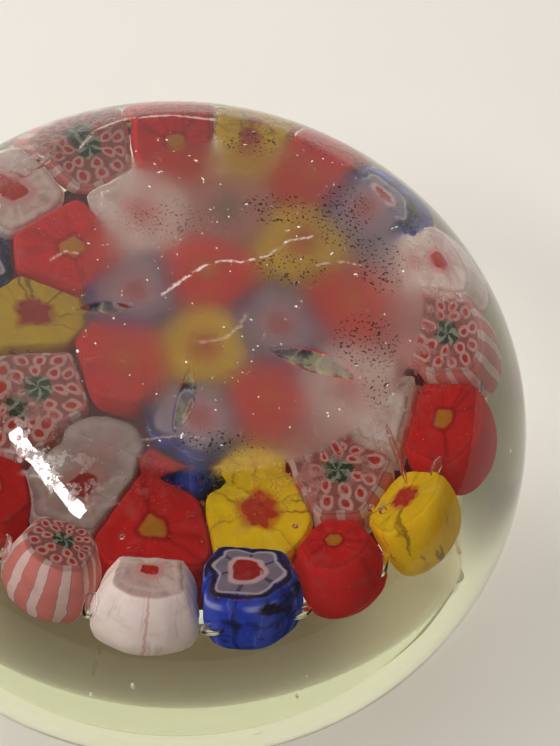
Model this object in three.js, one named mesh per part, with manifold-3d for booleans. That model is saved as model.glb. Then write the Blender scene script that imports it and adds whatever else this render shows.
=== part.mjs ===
// Millefiori glass paperweight: a solid clear-glass weight with a ground face on top,
// a ground base to stand on, and a cushion of 37 cane slices bedded in a pale ground.
// Millimetres, +Z up, the base stands on z = 0 and the axis of the weight is x = y = 0.
import * as THREE from 'three';
import * as BufferGeometryUtils from 'three/addons/utils/BufferGeometryUtils.js';
import Module from 'manifold-3d';

const wasm = await Module();
wasm.setup();

// ---- driving dimensions (mm) --------------------------------------------------------
const BODY_RADIUS = 35.0;
const BODY_HALF_HEIGHT = 26.2;
const BASE_DEPTH = 22.9;
const WORN_EDGE = 0.7;

// The top face is ground a little out of level: its height above the widest level is
// measured along its own upright, which leans towards the far right.
const TOP_FACE_RISE = 20.9;
const TOP_FACE_TILT_DEG = 3.5;
const TOP_FACE_TILT_TOWARDS_DEG = 60;
const TOP_FACE_RADIUS = 20.3;
const TOP_EDGE_WEAR_DEG = 14;

const GLASS_SIDES = 48;

const CANE_HEIGHT = 9.1;
const CANE_SIDES = 12;
const CUSHION_TOP = 38.6;
const RING_X = [1.6, 1.6, 1.2, 1.2];
const RING_Y = [-2.1, -2.0, -1.9, -0.8];
const RING_RADIUS = [0, 8.0, 15.6, 22.9];
const RING_START_DEG = [0, 22.7, 21.8, 3.1];
const RING_DROP = [0, 0.2, 0.9, 2.8];

// Positive leans the upper face outwards. The outermost ring follows the dome inwards.
const RING_TILT_DEG = [0, 2, 3, -20];

// How much shorter than the full height the slices of a ring are, and how much more
// than that the ones on its near side.
const RING_CUT = [0, 0, 0, 1.7];
const RING_NEAR_CUT = [0, 0, 4.0, 0];
const NEAR_SIDE_DEG = 260;

const FIT_GAP = 0.3;

// Cane colours round each ring, anticlockwise seen from above.
// Y yellow, R red, B blue, W white, P pink.
const RING_PATTERN = ['Y', 'BR', 'RYPW', 'PWBRYR'];
const RING_COUNT = [1, 6, 12, 18];

const CANE_KINDS = {
  Y: { label: 'yellow', color: 0xd3a51a, roughness: 0.35 },
  R: { label: 'red', color: 0xb01820, roughness: 0.3 },
  B: { label: 'blue', color: 0x1f2f86, roughness: 0.3 },
  W: { label: 'white', color: 0xd8bdbd, roughness: 0.4 },
  P: { label: 'pink', color: 0xd9808a, roughness: 0.4 },
};

// ---- helpers ------------------------------------------------------------------------
function v2(x, y) {
  return new THREE.Vector2(x, y);
}

// Turns a profile (radius, height) into a solid of revolution standing on +Z.
function turned(profile, sides) {
  const points = profile.map(([r, z]) => v2(r, z));
  const geometry = new THREE.LatheGeometry(points, sides);
  geometry.rotateX(Math.PI / 2);
  return geometry;
}

function toManifold(geometry) {
  const bare = geometry.clone();
  bare.deleteAttribute('normal');
  bare.deleteAttribute('uv');
  const merged = BufferGeometryUtils.mergeVertices(bare, 1e-4);
  const index = merged.index.array;
  const triangles = [];
  for (let i = 0; i < index.length; i += 3) {
    const [a, b, c] = [index[i], index[i + 1], index[i + 2]];
    if (a !== b && b !== c && c !== a) {
      triangles.push(a, b, c);
    }
  }
  const mesh = new wasm.Mesh({
    numProp: 3,
    vertProperties: new Float32Array(merged.attributes.position.array),
    triVerts: new Uint32Array(triangles),
  });
  return new wasm.Manifold(mesh);
}

function fromManifold(solid) {
  const mesh = solid.getMesh();
  const geometry = new THREE.BufferGeometry();
  const positions = new Float32Array(mesh.vertProperties);
  geometry.setAttribute('position', new THREE.BufferAttribute(positions, 3));
  geometry.setIndex(new THREE.BufferAttribute(new Uint32Array(mesh.triVerts), 1));
  geometry.computeVertexNormals();
  return geometry;
}

function named(name, geometry, options) {
  const material = new THREE.MeshStandardMaterial({
    color: options.color,
    roughness: options.roughness,
    metalness: 0,
  });
  material.name = options.slot;
  const mesh = new THREE.Mesh(geometry, material);
  mesh.name = name;
  return mesh;
}

// ---- the outline of the weight ------------------------------------------------------
// Radius of the blown outline at a height above the base.
function outlineRadius(z) {
  const t = (z - BASE_DEPTH) / BODY_HALF_HEIGHT;
  return BODY_RADIUS * Math.sqrt(Math.max(0, 1 - t * t));
}

const CROWN = BASE_DEPTH + BODY_HALF_HEIGHT;
const FLANK_STEPS = 7;
const DOME_STEPS = 8;

// A ground edge worn round: two points on a soft bend from one point to another.
function wornBend(from, corner, to) {
  return [1 / 3, 2 / 3].map((t) => {
    const a = (1 - t) * (1 - t);
    const b = 2 * t * (1 - t);
    const c = t * t;
    return [0, 1].map((k) => a * from[k] + b * corner[k] + c * to[k]);
  });
}

// Points on the blown outline from one height to another, both ends included.
function outlineArc(zLow, zHigh, steps) {
  const low = Math.asin((zLow - BASE_DEPTH) / BODY_HALF_HEIGHT);
  const high = Math.asin((zHigh - BASE_DEPTH) / BODY_HALF_HEIGHT);
  const points = [];
  for (let i = 0; i <= steps; i += 1) {
    const angle = low + ((high - low) * i) / steps;
    points.push([
      BODY_RADIUS * Math.cos(angle),
      BASE_DEPTH + BODY_HALF_HEIGHT * Math.sin(angle),
    ]);
  }
  return points;
}

// From the edge of the base, round the flank and up to the crown of the dome.
function outerOutline() {
  const baseCorner = [outlineRadius(0), 0];
  const baseEdge = [baseCorner[0] - 1.3 * WORN_EDGE, 0];
  const lower = outlineArc(WORN_EDGE, BASE_DEPTH, FLANK_STEPS);
  const upper = outlineArc(BASE_DEPTH, CROWN, DOME_STEPS).slice(1, -1);
  return [
    baseEdge,
    ...wornBend(baseEdge, baseCorner, lower[0]),
    ...lower,
    ...upper,
    [0, CROWN],
  ];
}

// The space below the ground face: flat in the middle, sloped where its edge is worn.
function groundFaceKeep() {
  const reach = 2 * BODY_RADIUS;
  const slope = Math.tan(THREE.MathUtils.degToRad(TOP_EDGE_WEAR_DEG));
  const geometry = turned([
    [0, -reach],
    [reach, -reach],
    [reach, TOP_FACE_RISE - slope * (reach - TOP_FACE_RADIUS)],
    [TOP_FACE_RADIUS, TOP_FACE_RISE],
    [0, TOP_FACE_RISE],
  ], GLASS_SIDES);
  const towards = THREE.MathUtils.degToRad(TOP_FACE_TILT_TOWARDS_DEG);
  const across = new THREE.Vector3(-Math.sin(towards), Math.cos(towards), 0);
  const tilt = THREE.MathUtils.degToRad(TOP_FACE_TILT_DEG);
  geometry.applyMatrix4(new THREE.Matrix4().makeRotationAxis(across, tilt));
  geometry.translate(0, 0, BASE_DEPTH);
  return geometry;
}

// ---- the foundation gather: the clear core under the ground -------------------------
const CORE_FLANK = [
  [12.2, 0],
  [16.2, 4.2],
  [19.8, 9.5],
  [22.8, 15.5],
  [25.0, 21.5],
  [26.0, 25.6],
];
const CORE_TOP = [
  [24.3, 26.1],
  [15.6, 26.5],
  [8.0, 26.9],
  [0, 27.1],
];

function coreProfile() {
  return [[0, 0], ...CORE_FLANK, ...CORE_TOP];
}

// ---- the pale ground: a thin layer of opal glass that the canes bed in --------------
const GROUND_PROFILE = [
  [0, 27.45],
  [8.0, 27.25],
  [15.6, 26.85],
  [24.3, 26.5],
  [24.9, 27.2],
  [24.6, 29.2],
  [15.6, 29.4],
  [8.0, 30.1],
  [0, 30.3],
];

// ---- the crown casing: one gather over the cushion and down the flanks ---------------
// The pocket follows the core, then the outside of the canes, then their upper faces.
const POCKET = [
  [0, 39.35],
  [11.5, 39.25],
  [19.5, 38.75],
  [25.0, 37.75],
  [28.1, 36.95],
  [30.3, 32.0],
  [30.0, 29.6],
  [28.3, 27.0],
];

function casingProfile() {
  const profile = [...POCKET];
  for (let i = CORE_FLANK.length - 1; i >= 0; i -= 1) {
    const [r, z] = CORE_FLANK[i];
    profile.push([r + FIT_GAP + 0.25, z]);
  }
  profile.push(...outerOutline());
  return profile;
}

// ---- the canes ----------------------------------------------------------------------
// A slice of cane, standing on its drawn-in lower end, radius and height from the end.
const CANE_PROFILE = [
  [0, 0],
  [1.9, 0.3],
  [2.85, 1.6],
  [3.5, 6.2],
  [3.55, 8.6],
  [3.25, 8.95],
  [0, CANE_HEIGHT],
];
const CANE_BEDDED_POINTS = 3;
const CANE_FOOT = CANE_PROFILE[CANE_BEDDED_POINTS - 1][1];

// The outline of a slice cut shorter: only the part above its drawn-in foot is lower.
function slice(cut) {
  return CANE_PROFILE.map(([r, z]) => [r, z > CANE_FOOT ? z - cut : z]);
}

function grown(profile, gap) {
  return profile.map(([r, z], i) => {
    if (i === 0) {
      return [0, z - gap];
    }
    return [r + gap, z - gap];
  });
}

function ringAngle(ring, i) {
  return THREE.MathUtils.degToRad(RING_START_DEG[ring] + (360 * i) / RING_COUNT[ring]);
}

function shortening(ring, i) {
  const away = ringAngle(ring, i) - THREE.MathUtils.degToRad(NEAR_SIDE_DEG);
  return RING_CUT[ring] + RING_NEAR_CUT[ring] * (0.5 + 0.5 * Math.cos(away));
}

// Where a cane stands: its axis passes through the middle of its upper face.
function canePlace(ring, i) {
  const angle = ringAngle(ring, i);
  const cut = shortening(ring, i);
  const bottomCut = RING_CUT[ring];
  const tilt = THREE.MathUtils.degToRad(RING_TILT_DEG[ring]);
  const outward = new THREE.Vector3(Math.cos(angle), Math.sin(angle), 0);
  const axis = outward.clone().multiplyScalar(Math.sin(tilt));
  axis.z = Math.cos(tilt);
  const face = outward.clone().multiplyScalar(RING_RADIUS[ring]);
  face.add(new THREE.Vector3(RING_X[ring], RING_Y[ring], CUSHION_TOP - RING_DROP[ring]));
  const foot = face.clone().addScaledVector(axis, bottomCut - CANE_HEIGHT);
  const turn = new THREE.Quaternion().setFromUnitVectors(new THREE.Vector3(0, 0, 1), axis);
  const matrix = new THREE.Matrix4().compose(foot, turn, new THREE.Vector3(1, 1, 1));
  return { matrix, cut };
}

const canes = [];
for (let ring = 0; ring < RING_COUNT.length; ring += 1) {
  const pattern = RING_PATTERN[ring];
  for (let i = 0; i < RING_COUNT[ring]; i += 1) {
    const kind = CANE_KINDS[pattern[i % pattern.length]];
    const number = String(i + 1).padStart(2, '0');
    canes.push({
      name: `cane_ring${ring}_${number}_${kind.label}`,
      kind,
      place: canePlace(ring, i),
    });
  }
}

// ---- assembly -----------------------------------------------------------------------
const weight = new THREE.Group();
weight.name = 'millefiori_paperweight';

const dome = toManifold(turned(casingProfile(), GLASS_SIDES));
const casing = dome.intersect(toManifold(groundFaceKeep()));
weight.add(named('crown_casing', fromManifold(casing), {
  slot: 'casing_glass',
  color: 0xc9d3b4,
  roughness: 0.06,
}));

weight.add(named('foundation_gather', turned(coreProfile(), GLASS_SIDES), {
  slot: 'core_glass',
  color: 0xbcc8a6,
  roughness: 0.06,
}));

// Every cane beds in its own dimple in the top of the ground.
let ground = toManifold(turned(GROUND_PROFILE, GLASS_SIDES));
for (const cane of canes) {
  const bed = grown(CANE_PROFILE.slice(0, CANE_BEDDED_POINTS), 1.25 * FIT_GAP);
  bed.push([bed[CANE_BEDDED_POINTS - 1][0] + 0.2, CANE_FOOT + 2.5]);
  bed.push([0, CANE_FOOT + 2.5]);
  const cutter = turned(bed, CANE_SIDES);
  cutter.applyMatrix4(cane.place.matrix);
  ground = ground.subtract(toManifold(cutter));
}
weight.add(named('pale_ground', fromManifold(ground), {
  slot: 'ground_opal',
  color: 0xd9dcc4,
  roughness: 0.5,
}));

for (const cane of canes) {
  const geometry = turned(slice(cane.place.cut), CANE_SIDES);
  geometry.applyMatrix4(cane.place.matrix);
  weight.add(named(cane.name, geometry, {
    slot: `cane_${cane.kind.label}`,
    color: cane.kind.color,
    roughness: cane.kind.roughness,
  }));
}

export default weight;
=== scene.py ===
import math
import random

import bmesh
import bpy
import numpy as np
from mathutils import Matrix, Vector, noise


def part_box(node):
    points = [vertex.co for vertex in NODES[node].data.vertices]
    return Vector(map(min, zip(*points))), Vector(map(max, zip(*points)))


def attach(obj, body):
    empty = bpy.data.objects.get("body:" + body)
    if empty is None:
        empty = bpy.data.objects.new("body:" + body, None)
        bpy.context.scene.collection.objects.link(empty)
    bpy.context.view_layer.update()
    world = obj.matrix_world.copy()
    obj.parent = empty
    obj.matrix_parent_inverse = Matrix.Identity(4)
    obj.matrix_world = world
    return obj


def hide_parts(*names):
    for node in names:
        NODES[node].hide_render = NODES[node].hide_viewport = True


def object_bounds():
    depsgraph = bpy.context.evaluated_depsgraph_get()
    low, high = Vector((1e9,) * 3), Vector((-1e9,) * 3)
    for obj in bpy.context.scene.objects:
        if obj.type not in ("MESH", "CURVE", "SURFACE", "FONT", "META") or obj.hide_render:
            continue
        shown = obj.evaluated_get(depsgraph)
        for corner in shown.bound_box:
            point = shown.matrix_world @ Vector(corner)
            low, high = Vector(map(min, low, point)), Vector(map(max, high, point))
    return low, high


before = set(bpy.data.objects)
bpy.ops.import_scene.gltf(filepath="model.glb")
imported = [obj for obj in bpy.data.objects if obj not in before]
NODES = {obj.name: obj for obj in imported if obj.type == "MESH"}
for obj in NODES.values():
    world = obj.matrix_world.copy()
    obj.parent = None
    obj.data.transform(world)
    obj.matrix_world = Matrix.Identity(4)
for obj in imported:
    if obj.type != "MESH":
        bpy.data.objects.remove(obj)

MM = 0.001
CAD_LOW, CAD_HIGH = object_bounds()

# ---------------------------------------------------------------- dimensions (metres)
# The glass is a spheroid cut off by its ground base and by a sloping ground face.
BODY_RADIUS = (CAD_HIGH.x - CAD_LOW.x) / 2
HALF_HEIGHT = 26.2 * MM
BASE_DEPTH = 22.9 * MM
FACE_RISE = 20.9 * MM
FACE_TILT = math.radians(3.5)
FACE_TILT_TOWARDS = math.radians(60)
CENTRE = Vector((0, 0, BASE_DEPTH))
FACE_NORMAL = Vector((
    math.sin(FACE_TILT) * math.cos(FACE_TILT_TOWARDS),
    math.sin(FACE_TILT) * math.sin(FACE_TILT_TOWARDS),
    math.cos(FACE_TILT),
))
# The slices: free radius, length and lean; those of the outer ring are the rim canes.
RIM_CANE_LENGTH = 7.4 * MM
RIM_CANE_SUNK = 0.6 * MM
CANE_REACH = 5.3 * MM
RIM_CANE_REACH = 4.7 * MM
RING_TILT_DEG = [0, 2, 3, -20]
GLASS_IOR = 1.5

scene = bpy.context.scene


# ---------------------------------------------------------------- camera
# Close and from high above, slightly rolled, with the weight low and to the left, so
# that its left side runs out of the frame. The shifts are shares of the distance.
CAM_ELEVATION = math.radians(58.5)
CAM_DISTANCE = 0.189
CAM_ROLL = math.radians(3)
CAM_LENS_MM = 90.1
CAM_SENSOR_MM = 36.0
CAM_NEAREST = 0.005
BODY_SHIFT_RIGHT = -0.0537
BODY_SHIFT_UP = -0.0231


def make_camera():
    look = Vector((0, math.cos(CAM_ELEVATION), -math.sin(CAM_ELEVATION)))
    right = Vector((1, 0, 0))
    up = right.cross(look)
    place = CENTRE - look * CAM_DISTANCE
    turn = Matrix.Rotation(-CAM_ROLL, 3, look)
    right, up = turn @ right, turn @ up
    aim = (look - right * BODY_SHIFT_RIGHT - up * BODY_SHIFT_UP).normalized()
    up = (up - aim * up.dot(aim)).normalized()
    right = aim.cross(up)
    data = bpy.data.cameras.new("camera")
    data.sensor_width = CAM_SENSOR_MM
    data.lens = CAM_LENS_MM
    data.clip_start = CAM_NEAREST
    cam = bpy.data.objects.new("camera", data)
    basis = Matrix((right, up, -aim)).transposed().to_4x4()
    cam.matrix_world = Matrix.Translation(place) @ basis
    scene.collection.objects.link(cam)
    scene.camera = cam


make_camera()


# ---------------------------------------------------------------- mesh helpers
def lathe_faces(rings, sides):
    """Faces of a closed body: a first point, rings of points from there on, a last point."""
    faces = [(0, 1 + (k + 1) % sides, 1 + k) for k in range(sides)]
    for r in range(rings - 1):
        a, b = 1 + r * sides, 1 + (r + 1) * sides
        for k in range(sides):
            after = (k + 1) % sides
            faces.append((a + k, a + after, b + after, b + k))
    last, tip = 1 + (rings - 1) * sides, 1 + rings * sides
    faces += [(last + k, last + (k + 1) % sides, tip) for k in range(sides)]
    return faces


def new_mesh(name, verts, faces, fields=None):
    """A smooth mesh with a number or a vector per point for each named field."""
    mesh = bpy.data.meshes.new(name)
    mesh.from_pydata(verts, [], faces)
    mesh.polygons.foreach_set("use_smooth", [True] * len(mesh.polygons))
    for field, values in (fields or {}).items():
        values = np.array(values, np.float32)
        if values.ndim == 2:
            put = mesh.attributes.new(field, "FLOAT_VECTOR", "POINT")
            put.data.foreach_set("vector", values.ravel())
        else:
            put = mesh.attributes.new(field, "FLOAT", "POINT")
            put.data.foreach_set("value", values)
    return mesh


def new_object(name, mesh):
    obj = bpy.data.objects.new(name, mesh)
    scene.collection.objects.link(obj)
    return obj


# ---------------------------------------------------------------- node helpers
class Shader:
    """Builds a node material by writing sums instead of wiring sockets."""

    def __init__(self, name):
        self.mat = bpy.data.materials.new(name)
        self.mat.use_nodes = True
        self.tree = self.mat.node_tree
        self.tree.nodes.clear()
        self.out = self.tree.nodes.new("ShaderNodeOutputMaterial")

    def node(self, kind, **settings):
        made = self.tree.nodes.new(kind)
        for key, value in settings.items():
            setattr(made, key, value)
        return made

    def feed(self, socket, value):
        if isinstance(value, bpy.types.NodeSocket):
            self.tree.links.new(value, socket)
        elif value is not None:
            if isinstance(value, tuple) and len(value) == 3 and socket.type == "RGBA":
                value = (*value, 1)
            socket.default_value = value

    def math(self, op, a, b=None, c=None, clamp=False):
        made = self.node("ShaderNodeMath", operation=op, use_clamp=clamp)
        for socket, value in zip(made.inputs, (a, b, c)):
            self.feed(socket, value)
        return made.outputs[0]

    def times(self, a, b, clamp=False):
        return self.math("MULTIPLY", a, b, clamp=clamp)

    def inverse(self, x):
        return self.math("SUBTRACT", 1.0, x)

    def vmath(self, op, a, b=None):
        made = self.node("ShaderNodeVectorMath", operation=op)
        self.feed(made.inputs[0], a)
        self.feed(made.inputs[1], b)
        return made.outputs["Value" if op in ("LENGTH", "DOT_PRODUCT") else "Vector"]

    def step(self, x, low, high):
        made = self.node("ShaderNodeMapRange", interpolation_type="SMOOTHSTEP")
        self.feed(made.inputs[0], x)
        self.feed(made.inputs[1], low)
        self.feed(made.inputs[2], high)
        return made.outputs[0]

    def band(self, x, low, high, soft):
        rise = self.step(x, low - soft, low + soft)
        fall = self.step(x, high - soft, high + soft)
        return self.math("SUBTRACT", rise, fall, clamp=True)

    def mix(self, factor, a, b):
        made = self.node("ShaderNodeMix", data_type="RGBA")
        self.feed(made.inputs[0], factor)
        self.feed(made.inputs[6], a)
        self.feed(made.inputs[7], b)
        return made.outputs[2]

    def noise(self, vector, scale, detail=2.0, rough=0.5, w=None, colour=False):
        made = self.node("ShaderNodeTexNoise", noise_dimensions="4D" if w is not None else "3D")
        self.feed(made.inputs["Vector"], vector)
        if w is not None:
            self.feed(made.inputs["W"], w)
        made.inputs["Scale"].default_value = scale
        made.inputs["Detail"].default_value = detail
        made.inputs["Roughness"].default_value = rough
        return made.outputs["Color" if colour else "Fac"]

    def attribute(self, name, output="Fac"):
        made = self.node("ShaderNodeAttribute", attribute_name=name)
        return made.outputs[output]

    def join(self, x, y, z):
        made = self.node("ShaderNodeCombineXYZ")
        for socket, value in zip(made.inputs, (x, y, z)):
            self.feed(socket, value)
        return made.outputs[0]

    def split(self, vector):
        made = self.node("ShaderNodeSeparateXYZ")
        self.feed(made.inputs[0], vector)
        return made.outputs

    def principled(self, **inputs):
        made = self.node("ShaderNodeBsdfPrincipled")
        for key, value in inputs.items():
            self.feed(made.inputs[key.replace("_", " ")], value)
        return made

    def blend(self, factor, a, b):
        made = self.node("ShaderNodeMixShader")
        for socket, value in zip(made.inputs, (factor, a, b)):
            self.feed(socket, value)
        return made.outputs[0]

    def surface(self, shader):
        self.tree.links.new(shader, self.out.inputs["Surface"])
        return self.mat


# ---------------------------------------------------------------- the cane materials
DEEP_GLASS = (0.03, 0.012, 0.010)
SMOKE_GREY = (0.20, 0.13, 0.12)
SEED_PINK = (0.72, 0.52, 0.46)
GROUND_PALE = (0.80, 0.79, 0.62)
# A point's height in its slice is kept as 0 at the foot and SECTION_HEIGHT at the face.
SECTION_HEIGHT = 2.5


class CaneShader(Shader):
    """Colours worked out from a point's place in the cane's own cross-section."""

    def __init__(self, name, wobble=0.10, wobble_scale=2.2):
        super().__init__(name)
        self.seed = self.attribute("cane_seed")
        place = self.attribute("section", "Vector")
        shake = self.noise(place, wobble_scale, 2.0, 0.5, w=self.seed, colour=True)
        shake = self.vmath("SUBTRACT", shake, (0.5, 0.5, 0.5))
        shake = self.vmath("MULTIPLY", shake, (wobble * 2, wobble * 2, 0.0))
        self.place = self.vmath("ADD", place, shake)
        self.x, self.y, self.z = self.split(self.place)
        flat = self.join(self.x, self.y, 0.0)
        self.rho = self.vmath("LENGTH", flat)
        self.theta = self.math("ARCTAN2", self.y, self.x)
        self.around = self.join(
            self.math("COSINE", self.theta),
            self.math("SINE", self.theta),
            self.times(self.z, 0.08),
        )

    def streaks(self, scale, detail=2.0):
        """Light and dark that runs along the cane and out from its middle."""
        return self.noise(self.around, scale, detail, 0.55, w=self.seed)

    def blotch(self, scale, detail=3.0):
        return self.noise(self.place, scale, detail, 0.6, w=self.seed)

    def lobes(self, count, turn=0.0):
        """0 in the middle of each of count equal sectors and 1 at their borders."""
        t = self.math("MULTIPLY_ADD", self.theta, count / (2 * math.pi), turn)
        t = self.math("FRACT", t)
        t = self.math("SUBTRACT", t, 0.5)
        return self.times(self.math("ABSOLUTE", t), 2.0)

    def face(self):
        """1 on the cut face of the slice and 0 on its sides."""
        return self.step(self.z, 2.34, 2.42)

    def finish(self, colour, depth=0.40):
        # Painted shade: the cut face is mixed towards DEEP_GLASS, standing in for light that goes
        # down into the slice and makes it look deeper than the sides.
        colour = self.mix(self.times(self.face(), depth), colour, DEEP_GLASS)
        colour = self.mix(self.attribute("deep_tone"), colour, DEEP_GLASS)
        # The foot of the slice is bedded in the pale ground.
        foot = self.step(self.z, 0.24, 0.16)
        colour = self.mix(foot, colour, GROUND_PALE)
        # Smoke and tiny seeds trapped in the slice when it was cased.
        smoke = self.step(self.blotch(2.3, 4.0), 0.50, 0.74)
        colour = self.mix(self.times(smoke, 0.20), colour, SMOKE_GREY)
        speck = self.step(self.noise(self.place, 19.0, 1.0, 0.5, w=self.seed), 0.72, 0.76)
        colour = self.mix(self.times(speck, 0.40), colour, SEED_PINK)
        shader = self.principled(Base_Color=colour, Roughness=0.55, Specular_IOR_Level=0.0)
        return self.surface(shader.outputs[0])


def red_cane():
    s = CaneShader("cane_red", 0.07)
    body = s.mix(s.blotch(1.6), (0.42, 0.004, 0.005), (0.80, 0.018, 0.015))
    body = s.mix(s.times(s.step(s.streaks(3.4, 3.0), 0.5, 0.72), 0.55),
                 body, (0.13, 0.002, 0.004))
    skin = s.step(s.rho, 0.84, 1.0)
    body = s.mix(s.times(skin, 0.45), body, (0.54, 0.030, 0.026))
    ring = s.band(s.rho, 0.26, 0.36, 0.03)
    body = s.mix(s.times(ring, 0.5), body, (0.20, 0.004, 0.003))
    dot = s.inverse(s.step(s.rho, 0.20, 0.29))
    gold = s.mix(s.blotch(5.0), (0.58, 0.25, 0.016), (0.40, 0.11, 0.008))
    return s.finish(s.mix(dot, body, gold))


def yellow_cane():
    s = CaneShader("cane_yellow", 0.22, 2.6)
    body = s.mix(s.blotch(1.8), (0.74, 0.42, 0.005), (0.95, 0.66, 0.010))
    vein = s.step(s.streaks(5.5, 3.0), 0.57, 0.64)
    body = s.mix(s.times(vein, 0.66), body, (0.16, 0.07, 0.004))
    pale = s.step(s.streaks(3.0, 1.0), 0.60, 0.75)
    body = s.mix(s.times(pale, 0.4), body, (0.84, 0.62, 0.06))
    halo = s.inverse(s.step(s.rho, 0.38, 0.54))
    body = s.mix(s.times(halo, 0.8), body, (0.56, 0.14, 0.008))
    tooth = s.math("MULTIPLY_ADD", s.lobes(7), 0.10, s.rho)
    core = s.inverse(s.step(tooth, 0.38, 0.44))
    red = s.mix(s.blotch(4.0), (0.60, 0.055, 0.012), (0.34, 0.012, 0.006))
    return s.finish(s.mix(core, body, red), 0.30)


def white_cane():
    s = CaneShader("cane_white", 0.13)
    body = s.mix(s.blotch(1.4), (0.80, 0.65, 0.58), (0.95, 0.86, 0.80))
    fold = s.step(s.streaks(9.0, 2.0), 0.54, 0.66)
    body = s.mix(s.times(fold, 0.30), body, (0.40, 0.31, 0.29))
    line = s.step(s.lobes(3, 0.13), 0.955, 0.99)
    body = s.mix(s.times(line, 0.6), body, (0.62, 0.24, 0.24))
    # The cut face is glassier: pink smoke between white folds.
    petal = s.mix(s.step(s.streaks(2.6, 2.0), 0.36, 0.68), (0.56, 0.35, 0.31), (0.72, 0.56, 0.50))
    shade = s.times(s.step(s.blotch(3.4), 0.5, 0.7), 0.5)
    petal = s.mix(shade, petal, (0.30, 0.21, 0.20))
    body = s.mix(s.times(s.face(), 0.85), body, petal)
    pale = s.times(s.band(s.rho, 0.80, 0.93, 0.05), s.face())
    body = s.mix(s.times(pale, 0.35), body, (0.80, 0.72, 0.68))
    pink = s.inverse(s.step(s.rho, 0.38, 0.54))
    body = s.mix(pink, body, (0.66, 0.34, 0.32))
    core = s.inverse(s.step(s.rho, 0.25, 0.31))
    red = s.mix(s.blotch(5.0), (0.56, 0.035, 0.02), (0.34, 0.010, 0.008))
    return s.finish(s.mix(core, body, red), 0.28)


def blue_cane():
    s = CaneShader("cane_blue", 0.10)
    lobe = s.lobes(6)
    side = s.mix(s.blotch(2.0), (0.010, 0.025, 0.30), (0.030, 0.080, 0.58))
    # Painted highlight: the middle of each lobe of the blue skin is lighter.
    side = s.mix(s.times(s.step(lobe, 0.55, 0.15), 0.40), side, (0.08, 0.14, 0.62))
    side = s.mix(s.times(s.step(s.streaks(7.0, 2.0), 0.58, 0.68), 0.35),
                 side, (0.20, 0.26, 0.66))
    # Painted shade: the skin is darker where it is drawn in between the lobes.
    side = s.mix(s.times(s.step(lobe, 0.84, 0.97), 0.7), side, (0.006, 0.010, 0.10))
    # Painted highlight: a pale band just under the face on each lobe.
    collar_highlight = s.times(s.band(s.z, 2.10, 2.28, 0.06), s.step(lobe, 0.75, 0.35))
    side = s.mix(s.times(collar_highlight, 0.55), side, (0.46, 0.49, 0.74))
    navy = (0.007, 0.009, 0.032)
    rim = s.band(s.rho, 0.85, 0.985, 0.02)
    petal_edge = s.math("MULTIPLY_ADD", lobe, 0.10, s.rho)
    petals = s.inverse(s.step(petal_edge, 0.86, 0.92))
    cloth = s.mix(s.blotch(3.0), (0.14, 0.11, 0.16), (0.33, 0.29, 0.37))
    gap = s.times(s.step(lobe, 0.80, 0.93), 0.85)
    cloth = s.mix(gap, cloth, (0.04, 0.03, 0.10))
    body = s.mix(rim, side, navy)
    body = s.mix(petals, body, cloth)
    edge_light = s.times(s.band(petal_edge, 0.81, 0.88, 0.02), 0.8)
    body = s.mix(edge_light, body, (0.56, 0.52, 0.60))
    ring = s.inverse(s.step(s.rho, 0.46, 0.54))
    body = s.mix(ring, body, (0.70, 0.48, 0.52))
    core = s.inverse(s.step(s.rho, 0.34, 0.40))
    red = s.mix(s.blotch(5.0), (0.50, 0.022, 0.020), (0.26, 0.006, 0.008))
    return s.finish(s.mix(core, body, red))


def pink_cane():
    s = CaneShader("cane_pink", 0.09, 2.0)
    stripe = s.lobes(12, 0.3)
    body = s.mix(s.blotch(1.6), (0.50, 0.13, 0.11), (0.66, 0.23, 0.20))
    white = s.step(stripe, 0.52, 0.40)
    pale = s.mix(s.blotch(2.6), (0.58, 0.38, 0.34), (0.74, 0.56, 0.52))
    body = s.mix(white, body, pale)
    thread = s.band(stripe, 0.40, 0.47, 0.02)
    body = s.mix(s.times(thread, 0.7), body, (0.16, 0.05, 0.045))
    face = s.times(s.face(), s.inverse(s.step(s.rho, 0.93, 1.0)))
    ground = s.mix(s.blotch(3.0), (0.36, 0.09, 0.08), (0.54, 0.22, 0.19))
    body = s.mix(face, body, ground)
    for count, middle, reach, turn in ((12, 0.78, 0.150, 0.0), (7, 0.49, 0.135, 0.37)):
        lobe = s.lobes(count, turn)
        across = s.times(lobe, math.pi * middle / count)
        along = s.times(s.math("SUBTRACT", s.rho, middle), 0.80)
        cell = s.join(across, along, 0.0)
        far = s.vmath("LENGTH", cell)
        zone = s.band(s.rho, middle - 0.16, middle + 0.17, 0.015)
        zone = s.times(zone, s.face())
        wall = s.times(s.step(far, reach * 1.02, reach * 1.22), zone)
        body = s.mix(s.times(wall, 0.65), body, (0.26, 0.07, 0.06))
        cloud = s.mix(s.blotch(4.0), (0.50, 0.23, 0.20), (0.78, 0.56, 0.52))
        pale = s.times(s.step(far, reach * 1.08, reach * 0.92), zone)
        body = s.mix(s.times(pale, 0.80), body, cloud)
        dot = s.times(s.step(far, reach * 0.60, reach * 0.46), zone)
        red = s.mix(s.blotch(6.0), (0.62, 0.045, 0.022), (0.36, 0.012, 0.010))
        body = s.mix(dot, body, red)
    ragged = s.math("MULTIPLY_ADD", s.streaks(4.0, 2.0), 0.26, s.rho)
    inner = s.inverse(s.step(ragged, 0.42, 0.50))
    swirl = s.math("MULTIPLY_ADD", s.theta, 5.0, s.times(s.rho, 9.0))
    swirl = s.math("ADD", swirl, s.times(s.blotch(6.0), 9.0))
    swirl = s.step(s.math("SINE", swirl), 0.0, 0.9)
    heart = s.mix(swirl, (0.018, 0.055, 0.022), (0.30, 0.34, 0.26))
    return s.finish(s.mix(inner, body, heart))


CANE_MATERIALS = {
    "red": red_cane(),
    "yellow": yellow_cane(),
    "white": white_cane(),
    "blue": blue_cane(),
    "pink": pink_cane(),
}


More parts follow.
